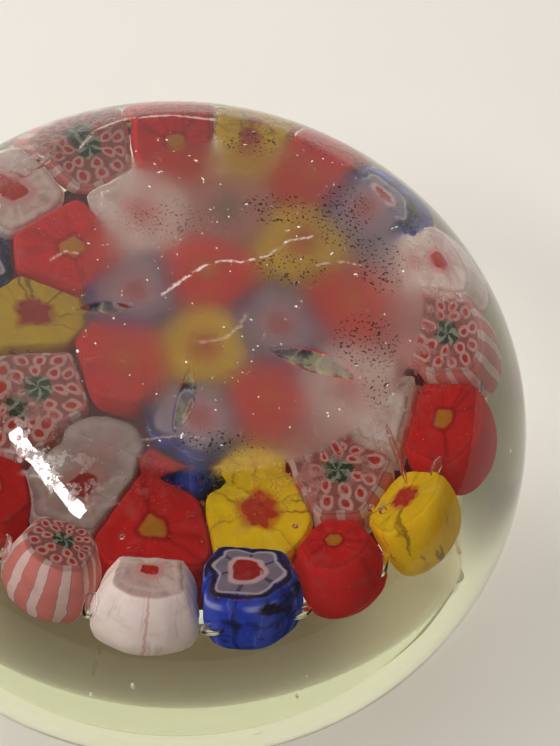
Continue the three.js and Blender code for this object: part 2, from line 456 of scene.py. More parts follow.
# ---------------------------------------------------------------- the canes
# Radius and height from the foot: drawn in at the foot, full under the face.
CANE_OUTLINE = [
    (0.0, 0.0), (0.30, 0.010), (0.55, 0.045), (0.72, 0.105), (0.83, 0.19), (0.90, 0.30),
    (0.945, 0.42), (0.975, 0.55), (0.992, 0.68), (1.0, 0.80), (1.0, 0.90), (0.992, 0.945),
    (0.975, 0.970), (0.945, 0.985),
]
# The outer slices belly out; some keep a wide face, the rest are pulled in at the top.
RIM_WIDE_OUTLINE = [
    (0.0, 0.0), (0.34, 0.010), (0.56, 0.040), (0.72, 0.100), (0.84, 0.19), (0.92, 0.30),
    (0.97, 0.42), (1.0, 0.55), (1.0, 0.68), (0.99, 0.79), (0.97, 0.87), (0.94, 0.925),
    (0.905, 0.962), (0.86, 0.985),
]
RIM_OUTLINE = [
    (0.0, 0.0), (0.34, 0.010), (0.58, 0.040), (0.76, 0.095), (0.89, 0.18), (0.965, 0.29),
    (1.0, 0.41), (0.995, 0.53), (0.965, 0.65), (0.915, 0.76), (0.86, 0.85), (0.81, 0.915),
    (0.765, 0.958), (0.715, 0.985),
]
# One is pulled in to a shell.
SHELL_OUTLINE = [
    (0.0, 0.0), (0.34, 0.010), (0.60, 0.040), (0.79, 0.095), (0.92, 0.18), (0.985, 0.29),
    (1.0, 0.41), (0.98, 0.53), (0.935, 0.65), (0.865, 0.76), (0.79, 0.85), (0.725, 0.915),
    (0.665, 0.958), (0.60, 0.985),
]
CANE_SIDES = 72
FACE_RINGS = 14
FACE_CROWN = 0.012
# How far apart two slices that touch can be, at their feet and at any height, and half
# the seam left between them.
FOOT_REACH = 14 * MM
NEIGHBOUR_REACH = 12.5 * MM
HALF_SEAM = 0.03 * MM
# How each kind is pressed out of round: lobes in the outline and their depth.
CANE_FORM = {
    "red": ((2, 0.025), (3, 0.020)),
    "yellow": ((2, 0.030), (9, 0.018), (5, 0.020)),
    "white": ((2, 0.020), (11, 0.016), (4, 0.020)),
    "blue": ((6, 0.040), (2, 0.015)),
    "pink": ((13, 0.014), (3, 0.022)),
}


def smooth_least(values, power=20.0):
    """The least of several lengths, rounded where two of them meet."""
    least = min(values)
    return least * sum((v / least) ** -power for v in values) ** (-1 / power)


def cane_mesh(cane, others, seed):
    """A slice pressed against its neighbours: round where free, flattened where it meets them."""
    kind = cane["kind"]
    rng = random.Random(seed)
    form = [(count, depth, rng.uniform(0, 2 * math.pi)) for count, depth in CANE_FORM[kind]]
    if kind == "blue":
        # Its skin is drawn in between the six petals of its pattern.
        form[0] = (*CANE_FORM[kind][0], math.pi)
    rings = list(cane["outline"][1:])
    shoulder, shoulder_height = rings[-1]
    for i in range(1, FACE_RINGS):
        t = 1 - i / FACE_RINGS
        rings.append((shoulder * t, shoulder_height + FACE_CROWN * (1 - t * t)))
    verts, section = [], []
    axis, foot, length, spin = cane["axis"], cane["foot"], cane["length"], cane["spin"]
    side = Vector((1, 0, 0))
    side = (side - axis * side.dot(axis)).normalized()
    across = axis.cross(side)
    reach_at = {}

    def reach(step, k):
        """Free distance from the axis at a height step and direction."""
        if (step, k) in reach_at:
            return reach_at[step, k]
        middle = foot + axis * (length * step)
        angle = 2 * math.pi * k / CANE_SIDES
        out = side * math.cos(angle) + across * math.sin(angle)
        limits = [cane["reach"]]
        for other in others:
            up = (middle.z - other["foot"].z) / other["axis"].z
            gap = other["foot"] + other["axis"] * up - middle
            wide = gap.length
            if wide > NEIGHBOUR_REACH:
                continue
            lean = out.dot(gap) / wide
            if lean > 0.15:
                share = cane["reach"] / (cane["reach"] + other["reach"])
                limits.append((wide * share - HALF_SEAM) / lean)
        reach_at[step, k] = smooth_least(limits)
        return reach_at[step, k]

    def add(rad, height, k):
        angle = 2 * math.pi * k / CANE_SIDES
        out = side * math.cos(angle) + across * math.sin(angle)
        own = angle - spin
        push = 1.0
        for count, depth, phase in form:
            push -= depth * (0.5 - 0.5 * math.cos(count * own + phase))
        fold = 0.0
        if rad > 0.5:
            where = Vector((math.cos(own) * 1.7, math.sin(own) * 1.7, height * 1.2 + seed * 3.1))
            fold = 0.018 * noise.noise(where * 2.0)
        if kind in ("yellow", "white") and rad > 0.6:
            groove = noise.noise(Vector((math.cos(own) * 4, math.sin(own) * 4, seed * 5.3)))
            fold -= 0.040 * max(0.0, groove)
        step = round(min(1.0, max(0.0, height)) * 6) / 6
        far = rad * reach(step, k) * (push + fold)
        lift = 0.0
        if rad < 0.93 and height > 0.9:
            where = Vector((rad * math.cos(own) * 3, rad * math.sin(own) * 3, seed * 1.7))
            lift = 0.12 * MM * noise.noise(where)
        verts.append(foot + out * far + axis * (height * length + lift))
        shown = rad / shoulder if height > 0.98 else 1.0
        section.append((shown * math.cos(own), shown * math.sin(own), height * SECTION_HEIGHT))

    add(0, 0, 0)
    for rad, height in rings:
        for k in range(CANE_SIDES):
            add(rad, height, k)
    add(0, rings[-1][1] + 0.0005, 0)
    return new_mesh(cane["title"], verts, lathe_faces(len(rings), CANE_SIDES), {
        "section": section,
        "deep_tone": [cane["deep"]] * len(verts),
        "cane_seed": [seed * 1.37] * len(verts),
    })


# Where a leaning slice's box is not centred on it, the outward shift of its middle.
LEAN_SHIFT = [0, 0, 0, 0.5 * MM]
# Slices whose size differs from their neighbours': free radius in mm.
OWN_REACH = {
    "ring2_04": 6.2, "ring2_05": 6.6, "ring2_09": 6.2, "ring2_10": 6.0, "ring2_12": 6.2,
    "ring3_01": 5.5, "ring3_06": 5.2, "ring3_07": 5.6, "ring3_08": 5.6, "ring3_09": 5.0,
    "ring3_13": 4.9, "ring3_14": 5.7, "ring3_15": 5.1, "ring3_16": 4.5, "ring3_18": 5.4,
}
# How far, in mm, a slice slid from its place when the glass was gathered over it.
SLID = {
    "ring0_01": (0.4, -1.0), "ring1_01": (-0.3, -1.3), "ring1_02": (-0.9, -0.2),
    "ring1_04": (0.5, 0.2), "ring1_05": (1.3, -0.8), "ring1_06": (0.1, -1.4),
    "ring2_08": (0.8, -0.8), "ring2_09": (-0.8, -1.1), "ring2_11": (-0.1, -0.9),
    "ring2_12": (-1.5, -1.8), "ring3_01": (-0.8, 1.1), "ring3_02": (0.7, 1.3),
    "ring3_03": (-0.8, 0.7), "ring3_05": (1.7, 0.9), "ring3_06": (2.0, 0.5),
    "ring3_07": (0.6, 2.4), "ring3_08": (-0.3, 1.7), "ring3_14": (-0.3, 0.0),
    "ring3_17": (1.1, -1.4),
}
# Slices that lean more than their ring.
LEANING = {"ring3_17": -38}
# Slices mixed further towards DEEP_GLASS than the rest: the share that is mixed in.
DEEP_TONE = {
    "ring0_01": 0.35, "ring1_01": 0.20, "ring1_03": 0.15, "ring2_02": 0.40,
    "ring2_03": 0.30, "ring2_04": 0.12, "ring2_06": 0.50, "ring2_07": 0.10,
    "ring2_08": 0.50, "ring2_12": 0.12, "ring3_05": 0.35,
}
# The outer slices that are pulled in at the top.
PULLED_IN = {"ring3_13": RIM_OUTLINE, "ring3_16": RIM_OUTLINE, "ring3_14": SHELL_OUTLINE}
# How a slice happened to be turned about its own axis.
TURNED = {"ring3_14": 0.80, "ring3_15": 0.35}


def find_canes():
    """Axis, foot and length of every slice, from the boxes of the CAD slices."""
    boxes = {n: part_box(n) for n in NODES if n.startswith("cane_ring")}
    middles = []
    for ring in range(4):
        in_ring = f"cane_ring{ring}_"
        own = [(lo + hi) / 2 for n, (lo, hi) in boxes.items() if n.startswith(in_ring)]
        middles.append(sum(own, Vector()) / len(own))
    found = []
    for order, name in enumerate(sorted(boxes)):
        low, high = boxes[name]
        _, ring_word, number, kind = name.split("_")
        ring = int(ring_word[-1])
        key = f"{ring_word}_{number}"
        tilt = math.radians(LEANING.get(key, RING_TILT_DEG[ring]))
        middle = (low + high) / 2
        outward = middle - middles[ring]
        outward.z = 0
        axis = Vector((0, 0, 1))
        if ring:
            outward.normalize()
            axis = outward * math.sin(tilt) + Vector((0, 0, math.cos(tilt)))
            middle = middle + outward * LEAN_SHIFT[ring]
        length = RIM_CANE_LENGTH if ring == 3 else (high.z - low.z) / axis.z
        usual = RIM_CANE_REACH if ring == 3 else CANE_REACH
        slid = SLID.get(key, (0, 0))
        middle = middle + Vector((slid[0], slid[1], 0)) * MM
        foot = middle - axis * length / 2
        if ring == 3:
            foot = foot + axis * RIM_CANE_SUNK
            length = length - RIM_CANE_SUNK
        found.append({
            "outline": PULLED_IN.get(key, RIM_WIDE_OUTLINE if ring == 3 else CANE_OUTLINE),
            "deep": DEEP_TONE.get(key, 0.0),
            "name": name,
            "title": f"millefiori_{key}_{kind}",
            "kind": kind,
            "axis": axis,
            "length": length,
            "foot": foot,
            "reach": OWN_REACH[key] * MM if key in OWN_REACH else usual,
            "spin": TURNED.get(key, random.Random(order * 7 + 3).uniform(0, 6.28)),
        })
    return found


def build_canes():
    found = find_canes()
    for order, cane in enumerate(found):
        near = [c for c in found if (c["foot"] - cane["foot"]).length < FOOT_REACH]
        others = [c for c in near if c is not cane]
        mesh = cane_mesh(cane, others, order + 1)
        mesh.materials.append(CANE_MATERIALS[cane["kind"]])
        obj = new_object(cane["title"], mesh)
        obj.visible_shadow = False
        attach(obj, "root")
        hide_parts(cane["name"])


build_canes()


# ---------------------------------------------------------------- the pale ground
def ground_material():
    s = Shader("opal_ground")
    where = s.node("ShaderNodeTexCoord").outputs["Object"]
    tone = s.noise(where, 160.0, 3.0, 0.6)
    colour = s.mix(tone, (0.80, 0.81, 0.72), (0.90, 0.91, 0.83))
    stain = s.step(s.noise(where, 70.0, 2.0, 0.5), 0.60, 0.72)
    colour = s.mix(s.times(stain, 0.25), colour, (0.80, 0.72, 0.34))
    # Painted shade: the top side, seen in the gaps between the feet of the slices, is a dark red
    # like their skins.
    under = s.attribute("under_side")
    gap_shade = s.mix(s.noise(where, 240.0, 2.0, 0.5), (0.10, 0.012, 0.010), (0.24, 0.040, 0.030))
    colour = s.mix(under, gap_shade, colour)
    shader = s.principled(Base_Color=colour, Roughness=0.6, Specular_IOR_Level=0.0)
    glow = s.node("ShaderNodeBsdfTranslucent")
    s.feed(glow.inputs["Color"], colour)
    both = s.blend(0.6, shader.outputs[0], glow.outputs[0])
    # Painted light: the under side glows by emission, standing in for light that the slices let
    # through to it, leaving the opal evenly bright there.
    underside_glow = s.node("ShaderNodeEmission")
    s.feed(underside_glow.inputs["Color"], colour)
    s.feed(underside_glow.inputs["Strength"], s.times(under, GROUND_GLOW))
    total = s.node("ShaderNodeAddShader")
    s.feed(total.inputs[0], both)
    s.feed(total.inputs[1], underside_glow.outputs[0])
    return s.surface(total.outputs[0])


# The ground is drawn in under the feet of the outer slices and lies a little off its place.
GROUND_SHARE = 0.918
GROUND_SHIFT = Vector((0.7, 0.1, 0)) * MM
GROUND_SIDES = 96
GROUND_STEPS = 24
GROUND_WAVE = 0.12 * MM
GROUND_GLOW = 0.28
# The cap's thickness in its middle, how far its top is taken down to the floors of the
# dimples, and how far its under side is raised.
GROUND_THICKNESS = 2.9 * MM
DIMPLE_DEPTH = 1.25 * MM
UNDER_LIFT = 0.2 * MM


def build_ground():
    """A thin uneven cap of opal glass that the feet of the slices rest on."""
    low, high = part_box("pale_ground")
    middle = (low + high) / 2 + GROUND_SHIFT
    rim = (high.x - low.x) / 2 * GROUND_SHARE
    drop = high.z - low.z - GROUND_THICKNESS
    sides, steps = GROUND_SIDES, GROUND_STEPS
    verts, faces, under_side = [], [], []
    for face in (0, 1):
        for i in range(steps + 1):
            t = i / steps if face else 1 - i / steps
            for k in range(sides):
                a = 2 * math.pi * k / sides
                edge = 1 + 0.015 * noise.noise(Vector((math.cos(a) * 2, math.sin(a) * 2, 5)))
                r = max(t, 0.002) * rim * edge * (1.0 if face else 0.985)
                x, y = middle.x + r * math.cos(a), middle.y + r * math.sin(a)
                sag = drop * t ** 1.8
                wave = GROUND_WAVE * noise.noise(Vector((x, y, face)) * 180)
                top = high.z - DIMPLE_DEPTH - sag + wave
                under = low.z + drop + UNDER_LIFT - sag + wave
                verts.append((x, y, top if not face else under))
                under_side.append(float(face))
    rows = 2 * (steps + 1)
    for j in range(rows - 1):
        for k in range(sides):
            a, b = j * sides + k, j * sides + (k + 1) % sides
            faces.append((a, a + sides, b + sides, b))
    faces.append(tuple(range((rows - 1) * sides, rows * sides)))
    faces.append(tuple(reversed(range(sides))))
    mesh = new_mesh("opal_ground_layer", verts, faces, {"under_side": under_side})
    fixer = bmesh.new()
    fixer.from_mesh(mesh)
    bmesh.ops.recalc_face_normals(fixer, faces=fixer.faces)
    fixer.to_mesh(mesh)
    fixer.free()
    mesh.materials.append(ground_material())
    obj = new_object("opal_ground_layer", mesh)
    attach(obj, "root")
    obj.visible_shadow = False
    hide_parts("pale_ground")


build_ground()


# ---------------------------------------------------------------- the glass
GLASS_SEGMENTS = 360
FLANK_STEPS = 84
BASE_STEPS = 9
# The rings of the flank are spaced by their angle, those of the face by their radius.
FLANK_INNER_RADIUS = 26.0 * MM
FACE_OUTER_RADIUS = 25.9 * MM
FACE_RING_GAP = 0.2 * MM
EDGE_RING_GAP = 0.1 * MM
EDGE_ZONE = (17.5 * MM, 24.5 * MM)
# Widths over which the ground face and the ground base run into the dome.
SOFT_EDGE = 0.35 * MM
BASE_EDGE = 0.5 * MM
HAND_WAVE = 0.05 * MM
SCRATCH_DEPTH = 0.05 * MM


def soft_min(a, b, k):
    """The lesser of two heights, rounded over a width k where they meet."""
    h = min(1.0, max(0.0, 0.5 + 0.5 * (b - a) / k))
    return b + (a - b) * h - k * h * (1 - h)


def dome_height(r):
    """Height of the blown dome above the table at a distance from the middle."""
    t = min(1.0, r / BODY_RADIUS)
    return BASE_DEPTH + HALF_HEIGHT * math.sqrt(max(0.0, 1 - t * t))


def face_height(x, y):
    """Height of the plane of the ground top face."""
    n = FACE_NORMAL
    return BASE_DEPTH + (FACE_RISE - n.x * x - n.y * y) / n.z


# Chips in the ground face: middle x, y, direction, length, width, depth, curve (mm).
CHIPS = [
    (11.7, -6.6, -18, 8.6, 2.5, 0.60, 0.08),
    (0.1, -11.5, 81, 7.4, 1.7, 0.50, -0.10),
    (-7.2, -2.1, 8, 5.2, 1.4, 0.40, 0.10),
]


def chip_depth(x, y):
    """How deep the chips cut at a point of the face, and how polished they leave it."""
    cut, polish = 0.0, 0.0
    for cx, cy, deg, length, width, depth, curve in CHIPS:
        a = math.radians(deg)
        dx, dy = x / MM - cx, y / MM - cy
        u = (dx * math.cos(a) + dy * math.sin(a)) / (length / 2)
        v = (-dx * math.sin(a) + dy * math.cos(a)) / width
        v = v - curve * (1 - u * u) * 2
        if abs(u) >= 1 or not -0.5 < v < 0.5:
            continue
        span = 1 - u * u
        t = (v + 0.5 * span) / max(span, 1e-3)
        if not 0 < t < 1:
            continue
        shape = (t / 0.22) if t < 0.22 else (1 - t) / 0.78
        shape = shape ** 0.8
        cut = max(cut, depth * MM * shape * span ** 0.5)
        polish = max(polish, min(1.0, shape * 4))
    return cut, polish


# Scratches in the ground face: width, whiteness and the points it runs through (mm).
SCRATCHES = [
    (0.18, 0.80, [(-2.2, 0.0), (-0.4, 2.0), (1.6, 3.9), (3.2, 4.6), (4.9, 4.6)]),
    (0.13, 0.75, [(4.9, 4.6), (7.4, 5.6), (9.5, 7.7), (11.8, 8.4)]),
    (0.26, 0.35, [(1.5, -5.1), (3.6, -4.4), (5.0, -3.0), (5.6, -1.4)]),
    (0.18, 0.60, [(-11.1, 17.2), (-9.6, 19.9), (-7.0, 21.7), (-2.5, 22.6), (2.0, 22.4)]),
    (0.14, 0.70, [(-9.4, 12.6), (-8.6, 12.1), (-8.4, 11.2)]),
    (0.14, 0.55, [(-12.6, 3.2), (-11.3, 4.4), (-10.2, 4.1)]),
    (0.12, 0.55, [(12.0, 4.9), (14.5, 5.6), (16.4, 5.2)]),
    (0.10, 0.20, [(-10.5, -9.0), (-7.5, -7.4), (-5.0, -7.8)]),
    (0.12, 0.45, [(-3.0, -16.0), (0.5, -15.2), (3.0, -15.6)]),
]
# Patches of dark polish left in pits of the face: middle x, y, reach x, y (mm), share.
PITTED = [
    (5.6, 19.6, 2.6, 1.6, 1.0), (8.6, 11.4, 3.6, 2.0, 1.0), (14.6, 11.0, 2.6, 4.2, 1.0),
    (18.2, 5.6, 2.2, 3.4, 1.0), (16.6, -3.6, 3.4, 3.4, 0.75), (9.6, 4.2, 4.0, 2.2, 0.7),
    (-2.0, 9.0, 7.0, 4.0, 0.35), (3.5, -15.8, 5.0, 1.6, 0.6), (17.6, -9.0, 1.8, 2.6, 0.5),
]


def scratch_at(x, y):
    """How white a scratch makes a point of the face."""
    best = 0.0
    px, py = x / MM, y / MM
    for width, white, line in SCRATCHES:
        jag = 0.7 * width * noise.noise(Vector((px * 2.6, py * 2.6, white * 9)))
        for (ax, ay), (bx, by) in zip(line, line[1:]):
            lx, ly = bx - ax, by - ay
            t = ((px - ax) * lx + (py - ay) * ly) / (lx * lx + ly * ly)
            t = min(1.0, max(0.0, t))
            gap = math.hypot(px - ax - lx * t, py - ay - ly * t) + jag
            if gap < width:
                best = max(best, white * min(1.0, 2.2 * (1 - gap / width)))
    return best


def pits_at(x, y):
    """How much of the face is dotted with dark pits around a point."""
    most = 0.0
    for mx, my, rx, ry, share in PITTED:
        far = math.hypot((x / MM - mx) / rx, (y / MM - my) / ry)
        most = max(most, share * min(1.0, max(0.0, 1.35 - far)))
    return most


# Air bubbles in the glass: middle x, y, z above the table, half length, radius, heading
# in plan and slope (degrees), all in mm. The first ones sit between the outer slices.
BUBBLES = [
    (-14.4, -21.6, 35.0, 1.30, 0.85, 70, 35), (-6.7, -26.7, 34.8, 1.25, 0.75, 75, 40),
    (3.8, -28.4, 34.6, 1.10, 0.65, 8, 0), (11.4, -26.6, 34.8, 1.00, 0.58, 25, 10),
    (18.4, -21.7, 35.0, 1.15, 0.55, 80, 45), (16.8, -16.9, 36.4, 0.38, 0.34, 0, 0),
    (17.9, -16.9, 36.2, 0.42, 0.38, 0, 0), (22.9, -12.4, 36.4, 1.10, 0.55, 60, 20),
    (27.0, -2.8, 35.2, 1.05, 0.36, 80, 25), (25.0, 5.9, 35.6, 1.20, 0.42, -50, -10),
    (-15.0, 16.6, 39.4, 1.40, 0.50, 35, 8), (-16.2, 15.4, 39.0, 0.80, 0.42, 30, 5),
    (19.2, -13.2, 39.6, 3.00, 0.30, -66, -8), (3.6, 25.6, 38.2, 1.90, 0.45, 0, 0),
    (23.9, 9.6, 37.2, 3.10, 0.13, -62, -8), (24.5, 8.9, 36.9, 3.00, 0.10, -58, -8),
    (-4.3, -21.6, 37.8, 0.30, 0.26, 0, 0), (-5.2, -9.0, 41.5, 0.80, 0.14, -50, 0),
    (7.6, -24.0, 37.0, 0.22, 0.20, 0, 0), (10.3, -19.9, 38.0, 0.28, 0.24, 0, 0),
    (-1.6, -26.4, 34.8, 0.34, 0.26, 10, 0), (12.0, -12.6, 41.6, 0.30, 0.28, 0, 0),
]
SEED_COUNT = 70


def bubble_list():
    """The placed bubbles and a scatter of fine seeds in the clear glass."""
    found = [tuple(v * MM for v in b[:5]) + b[5:] for b in BUBBLES]
    rng = random.Random(41)
    while len(found) < len(BUBBLES) + SEED_COUNT:
        around = rng.uniform(0, 2 * math.pi)
        far = rng.uniform(6, 31) * MM
        up = rng.uniform(6, 25) * MM
        if far > 24 * MM and rng.random() < 0.5:
            up = rng.uniform(24, 33) * MM
        if up > dome_height(far) - 2.5 * MM or 23 * MM < far < 28.5 * MM and up > 24 * MM:
            continue
        size = rng.uniform(0.07, 0.20) * MM
        found.append((far * math.cos(around), far * math.sin(around), up,
                      size * rng.uniform(1.0, 1.6), size, rng.uniform(0, 180), 0))
    return found


def add_bubbles(verts, faces):
    """Closed hollows in the glass: their surface faces into the air inside."""
    for x, y, z, half, radius, heading, slope in bubble_list():
        small = radius < 0.25 * MM
        rows, sides = (6, 8) if small else (12, 20)
        turn = Matrix.Rotation(math.radians(heading), 3, "Z")
        turn = turn @ Matrix.Rotation(-math.radians(slope), 3, "Y")
        first = len(verts)
        middle = Vector((x, y, z))
        verts.append(middle + turn @ Vector((-half, 0, 0)))
        for j in range(1, rows):
            b = math.pi * j / rows
            for k in range(sides):
                a = 2 * math.pi * k / sides
                dent = 1 + 0.10 * noise.noise(Vector((math.cos(a), math.sin(a), b + x * 900)))
                out = radius * math.sin(b) * dent
                spot = Vector((-half * math.cos(b), out * math.cos(a), out * math.sin(a)))
                verts.append(middle + turn @ spot)
        verts.append(middle + turn @ Vector((half, 0, 0)))
        last = len(verts) - 1
        for k in range(sides):
            k2 = (k + 1) % sides
            faces.append((first, first + 1 + k, first + 1 + k2))
            for j in range(rows - 2):
                a = first + 1 + j * sides
                faces.append((a + k, a + sides + k, a + sides + k2, a + k2))
            end = first + 1 + (rows - 2) * sides
            faces.append((end + k, last, end + k2))


def body_rings():
    """Heights or radii of the rings, from the middle of the base to the middle of the face."""
    rings = []
    base_r = BODY_RADIUS * math.sqrt(1 - (BASE_DEPTH / HALF_HEIGHT) ** 2)
    for i in range(1, BASE_STEPS + 1):
        rings.append(("base", base_r * 0.93 * i / BASE_STEPS))
    low = math.asin(-BASE_DEPTH / HALF_HEIGHT) - 0.02
    high = math.acos(FLANK_INNER_RADIUS / BODY_RADIUS)
    for i in range(FLANK_STEPS + 1):
        rings.append(("flank", low + (high - low) * i / FLANK_STEPS))
    r = FACE_OUTER_RADIUS
    while r > 0.3 * MM:
        rings.append(("face", r))
        r -= EDGE_RING_GAP if EDGE_ZONE[0] < r < EDGE_ZONE[1] else FACE_RING_GAP
    return rings


def body_point(ring, angle):
    """Where the ideal skin of the body is, before wear and the hand of the maker."""
    kind, value = ring
    ca, sa = math.cos(angle), math.sin(angle)
    if kind == "base":
        return Vector((value * ca, value * sa, 0.0))
    if kind == "flank":
        r = BODY_RADIUS * math.cos(value)
        z = BASE_DEPTH + HALF_HEIGHT * math.sin(value)
        z = -soft_min(-z, 0.0, BASE_EDGE)
        return Vector((r * ca, r * sa, z))
    x, y = value * ca, value * sa
    return Vector((x, y, soft_min(dome_height(value), face_height(x, y), SOFT_EDGE)))


# The part of the face that is ground matte, in mm on the face.
FROST_MIDDLE = (6.4, 1.4)
FROST_REACH = (16.2, 19.2)


def frost_at(p):
    """1 on the matte ground part, fading to a worn, half polished margin."""
    x, y = p.x / MM, p.y / MM
    r = math.hypot(x, y)
    above = dome_height(min(r * MM, BODY_RADIUS)) - face_height(p.x, p.y)
    on_face = min(1.0, max(0.0, above / (0.25 * MM)))
    wander = 1.8 * noise.noise(Vector((x * 0.16, y * 0.16, 3.3)))
    d = math.hypot((x - FROST_MIDDLE[0]) / (FROST_REACH[0] + wander),
                   (y - FROST_MIDDLE[1]) / (FROST_REACH[1] + wander))
    zone = min(1.0, max(0.0, (1.12 - d) / 0.24))
    return on_face * zone


EDGE_RIPPLE = 0.012 * MM


def wear_of_edge(p):
    """1 on the edge of the ground face, fading quickly inward and slowly down the flank."""
    gap = face_height(p.x, p.y) - dome_height(math.hypot(p.x, p.y))
    return max(0.0, 1 - (gap / (3.4 * MM) if gap > 0 else -gap / (0.9 * MM)))


def build_body():
    """The clear glass in one skin, with what happened to its surface kept per point."""
    rings = body_rings()
    verts, frost, wear, under, lines, pits, edges = [], [], [], [], [], [], []

    def add(p, zone):
        outward = Vector((p.x, p.y, (p.z - BASE_DEPTH) * 1.4))
        if zone != "base" and p.z >= 1.2 * MM:
            p = p + outward.normalized() * (noise.noise(p * 55) * HAND_WAVE)
        worn = wear_of_edge(p) if zone != "base" and p.z > BASE_DEPTH else 0.0
        p = p + Vector((0, 0, EDGE_RIPPLE * worn * noise.noise(p * 430)))
        matte, polish, line, pitted = 0.0, 0.0, 0.0, 0.0
        if zone == "face":
            matte = frost_at(p)
            cut, polish = chip_depth(p.x, p.y)
            line = scratch_at(p.x, p.y) * (1 - polish)
            pitted = pits_at(p.x, p.y) * (1 - polish)
            p = p - Vector((0, 0, cut + SCRATCH_DEPTH * line))
        verts.append(p)
        frost.append(matte)
        wear.append(polish)
        edges.append(worn)
        lines.append(line)
        pits.append(pitted)
        under.append(1.0 if zone == "base" else 0.0)

    add(Vector((0, 0, 0)), "base")
    for ring in rings:
        for k in range(GLASS_SEGMENTS):
            add(body_point(ring, 2 * math.pi * k / GLASS_SEGMENTS), ring[0])
    add(Vector((0, 0, face_height(0, 0))), "face")
    faces = lathe_faces(len(rings), GLASS_SEGMENTS)
    skin = len(verts)
    add_bubbles(verts, faces)
    for values in (frost, wear, under, lines, pits, edges):
        values.extend([0.0] * (len(verts) - skin))
    return new_object("clear_glass_body", new_mesh("clear_glass_body", verts, faces, {
        "frost": frost, "chip_polish": wear, "base_face": under,
        "scratch": lines, "pitted": pits, "worn_edge": edges,
    }))


def lamp_through(s, shader, tint):
    """Lets lamps light what is inside the glass, but not the table under its base."""
    path = s.node("ShaderNodeLightPath")
    clear = s.node("ShaderNodeBsdfTransparent")
    s.feed(clear.inputs[0], s.mix(s.attribute("base_face"), tint, (0.0, 0.0, 0.0)))
    return s.blend(path.outputs["Is Shadow Ray"], shader, clear.outputs[0])


LAMP_TINT = (0.62, 0.61, 0.67)
GLASS_TINT = (0.76, 0.78, 0.50, 1)
GLASS_TINT_DENSITY = 16.0
MATTE_ROUGHNESS = 0.72
SCUFF_ROUGHNESS = 0.30
WHEEL_DIRECTION = math.radians(38)
GRAIN_HEIGHT = 0.04 * MM


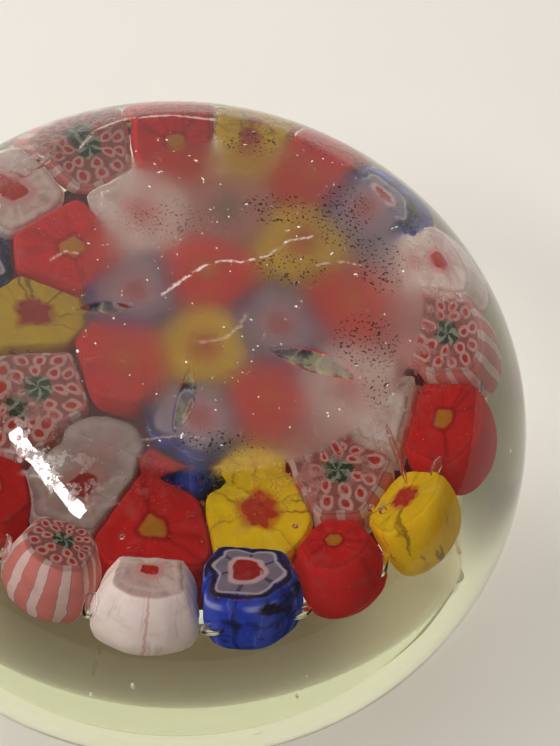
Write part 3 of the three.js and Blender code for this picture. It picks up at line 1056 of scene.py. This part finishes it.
def glass_material():
    s = Shader("weight_glass")
    where = s.node("ShaderNodeTexCoord").outputs["Object"]
    frost = s.attribute("frost")
    polish = s.attribute("chip_polish")
    grain = s.noise(where, 420.0, 4.0, 0.7)
    patch = s.noise(where, 120.0, 3.0, 0.6)
    matte = s.times(frost, s.math("MULTIPLY_ADD", patch, 0.6, 0.62))
    matte = s.times(matte, s.inverse(polish), clamp=True)
    rough = s.times(matte, MATTE_ROUGHNESS)
    # The worn edge of the ground face is scuffed in spots.
    scuff = s.step(s.noise(where, 700.0, 4.0, 0.75), 0.47, 0.58)
    scuff = s.times(scuff, s.step(s.attribute("worn_edge"), 0.0, 0.5))
    rough = s.math("MAXIMUM", rough, s.times(scuff, SCUFF_ROUGHNESS))
    # Fine parallel scratches left by the wheel and by use.
    turned = s.node("ShaderNodeMapping")
    s.feed(turned.inputs["Vector"], where)
    turned.inputs["Rotation"].default_value = (0, 0, WHEEL_DIRECTION)
    turned.inputs["Scale"].default_value = (240, 3200, 240)
    lines = s.noise(turned.outputs[0], 1.0, 2.0, 0.6)
    height = s.math("ADD", s.times(lines, 0.6), grain)
    # The hand-worked surface is never quite even round the edge of the face.
    wave = s.times(s.noise(where, 280.0, 2.0, 0.5), 3.6)
    wave = s.times(wave, s.step(s.split(where)[2], 0.030, 0.038))
    bump = s.node("ShaderNodeBump")
    s.feed(bump.inputs["Height"], s.math("MULTIPLY_ADD", height, matte, wave))
    bump.inputs["Strength"].default_value = 0.25
    bump.inputs["Distance"].default_value = GRAIN_HEIGHT
    glass = s.principled(Base_Color=(1.0, 1.0, 1.0), Roughness=rough, Normal=bump.outputs[0],
                         Transmission_Weight=1.0, IOR=GLASS_IOR)
    veil = s.node("ShaderNodeBsdfDiffuse")
    scratch = s.attribute("scratch")
    flake = s.step(s.noise(where, 1500.0, 2.0, 0.6), 0.34, 0.48)
    scratch = s.times(scratch, flake)
    pit = s.step(s.noise(where, 3400.0, 1.0, 0.5), 0.605, 0.63)
    pit = s.times(pit, s.step(s.attribute("pitted"), 0.08, 0.45))
    # Painted highlights: white glint dots scattered over the frosted part of the face.
    glint = s.step(s.noise(where, 2100.0, 1.0, 0.5), 0.735, 0.76)
    glint = s.times(glint, s.step(frost, 0.0, 0.1))
    wear_and_glints = s.mix(scratch, (0.46, 0.23, 0.16), (0.90, 0.84, 0.80))
    wear_and_glints = s.mix(glint, wear_and_glints, (0.95, 0.92, 0.90))
    # Inside a chip the fracture is glossy, ribbed and olive grey.
    rib = s.step(s.noise(where, 520.0, 3.0, 0.6), 0.38, 0.62)
    # Painted reflection: along the lip of a chip, patches of red and blue like the slices
    # beneath.
    lip = s.band(polish, 0.12, 0.62, 0.10)
    lip_reflection = s.mix(s.step(s.noise(where, 330.0, 1.0, 0.5), 0.46, 0.52),
                (0.55, 0.03, 0.02), (0.02, 0.03, 0.16))
    wear_and_glints = s.mix(lip, wear_and_glints, lip_reflection)
    fracture = s.mix(rib, (0.05, 0.045, 0.03), (0.27, 0.25, 0.15))
    wear_and_glints = s.mix(s.step(polish, 0.62, 0.85), wear_and_glints, fracture)
    s.feed(veil.inputs["Color"], s.mix(pit, wear_and_glints, (0.02, 0.015, 0.012)))
    haze = s.times(matte, s.math("MULTIPLY_ADD", grain, 0.10, 0.0))
    haze = s.math("MAXIMUM", haze, s.times(scratch, 0.9))
    haze = s.math("MAXIMUM", haze, s.times(pit, 0.85))
    haze = s.math("MAXIMUM", haze, s.times(glint, 0.8))
    floor = s.times(s.step(polish, 0.10, 0.45), s.math("MULTIPLY_ADD", rib, 0.35, 0.35))
    haze = s.math("MAXIMUM", haze, floor)
    skin = s.blend(haze, glass.outputs[0], veil.outputs[0])
    s.surface(lamp_through(s, skin, LAMP_TINT))
    tint = s.node("ShaderNodeVolumeAbsorption")
    tint.inputs["Color"].default_value = GLASS_TINT
    tint.inputs["Density"].default_value = GLASS_TINT_DENSITY
    s.tree.links.new(tint.outputs[0], s.out.inputs["Volume"])
    return s.mat


body = build_body()
body.data.materials.append(glass_material())
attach(body, "root")
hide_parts("crown_casing", "foundation_gather")


# ---------------------------------------------------------------- table, light and world
LAMP_TARGET = Vector((0, 0, 0.02))
GLASS_BOUNCES = 24
TABLE_SIZE = 1.6
TABLE_STEPS = 160
TABLE_DROP = 0.05 * MM


def build_table():
    size, steps = TABLE_SIZE, TABLE_STEPS
    verts, faces = [], []
    for j in range(steps + 1):
        for i in range(steps + 1):
            x = size * (i / steps - 0.5)
            y = size * (j / steps - 0.5)
            lift = 0.0004 * noise.noise(Vector((x * 9, y * 9, 0.7)))
            lift *= min(1.0, max(0.0, (math.hypot(x, y) - 0.045) / 0.05))
            verts.append((x, y, min(0.0, lift) - TABLE_DROP))
    for j in range(steps):
        for i in range(steps):
            a = j * (steps + 1) + i
            faces.append((a, a + 1, a + steps + 2, a + steps + 1))
    mesh = new_mesh("table", verts, faces)
    s = Shader("table_paper")
    where = s.node("ShaderNodeTexCoord").outputs["Object"]
    tone = s.noise(where, 9.0, 4.0, 0.6)
    colour = s.mix(tone, (0.72, 0.695, 0.655), (0.80, 0.785, 0.75))
    # Painted shadow: where the base rests, the paper is darkened and takes a warm tone from the
    # canes above.
    away = s.vmath("LENGTH", s.vmath("MULTIPLY", where, (1.0, 1.0, 0.0)))
    colour = s.mix(s.step(away, 0.024, 0.019), colour, (0.50, 0.40, 0.30))
    colour = s.mix(s.step(away, 0.0150, 0.0095), colour, (0.15, 0.09, 0.055))
    shader = s.principled(Base_Color=colour, Roughness=0.7, Specular_IOR_Level=0.2)
    s.surface(shader.outputs[0])
    mesh.materials.append(s.mat)
    new_object("table", mesh)


def area_light(name, place, width, height, power, colour, mirrored=True):
    """A rectangular lamp aimed at the middle of the weight's foot."""
    data = bpy.data.lights.new(name, "AREA")
    data.shape = "RECTANGLE"
    data.size, data.size_y = width, height
    data.energy = power
    data.color = colour
    obj = bpy.data.objects.new(name, data)
    obj.visible_glossy = mirrored
    obj.visible_transmission = False
    turn = (Vector(place) - LAMP_TARGET).to_track_quat("Z", "Y").to_matrix().to_4x4()
    obj.matrix_world = Matrix.Translation(place) @ turn
    scene.collection.objects.link(obj)


# The room is bright towards the window wall and dark where the viewer stands.
BRIGHT_TOWARDS = Vector((-0.10, 0.90, 0.42)).normalized()
ROOM_DARK = (0.20, 0.165, 0.145, 1)
ROOM_BRIGHT = (1.0, 0.975, 0.92, 1)


def build_world():
    world = bpy.data.worlds.new("room")
    world.use_nodes = True
    tree = world.node_tree
    tree.nodes.clear()
    new, link = tree.nodes.new, tree.links.new
    out = new("ShaderNodeOutputWorld")
    back = new("ShaderNodeBackground")
    where = new("ShaderNodeTexCoord")
    lean = new("ShaderNodeVectorMath")
    lean.operation = "DOT_PRODUCT"
    lean.inputs[1].default_value = BRIGHT_TOWARDS
    link(where.outputs["Generated"], lean.inputs[0])
    ramp = new("ShaderNodeValToRGB")
    ramp.color_ramp.interpolation = "EASE"
    stops = ramp.color_ramp.elements
    stops[0].position, stops[0].color = 0.0, ROOM_DARK
    stops[1].position, stops[1].color = 1.0, ROOM_BRIGHT
    shift = new("ShaderNodeMapRange")
    shift.inputs[1].default_value = 0.28
    shift.inputs[2].default_value = 0.90
    link(lean.outputs["Value"], shift.inputs[0])
    link(shift.outputs[0], ramp.inputs[0])
    link(ramp.outputs[0], back.inputs[0])
    back.inputs[1].default_value = 1.0
    link(back.outputs[0], out.inputs[0])
    scene.world = world


build_table()
# Name, place, width, height, power and colour. The sky lamp isn't mirrored in the glass.
area_light("window", (-0.42, -0.27, 0.58), 0.40, 0.050, 1.95, (1.0, 0.98, 0.95))
area_light("window_side", (-0.45, -0.23, 0.60), 0.22, 0.014, 0.20, (1.0, 0.95, 0.90))
area_light("sky", (-0.36, 0.36, 0.60), 0.34, 0.34, 3.1, (1.0, 0.985, 0.96), mirrored=False)
build_world()

scene.view_settings.view_transform = "Standard"
# Light crosses many glass surfaces before it is out of the weight again.
scene.cycles.max_bounces = GLASS_BOUNCES
scene.cycles.transmission_bounces = GLASS_BOUNCES
scene.cycles.transparent_max_bounces = GLASS_BOUNCES
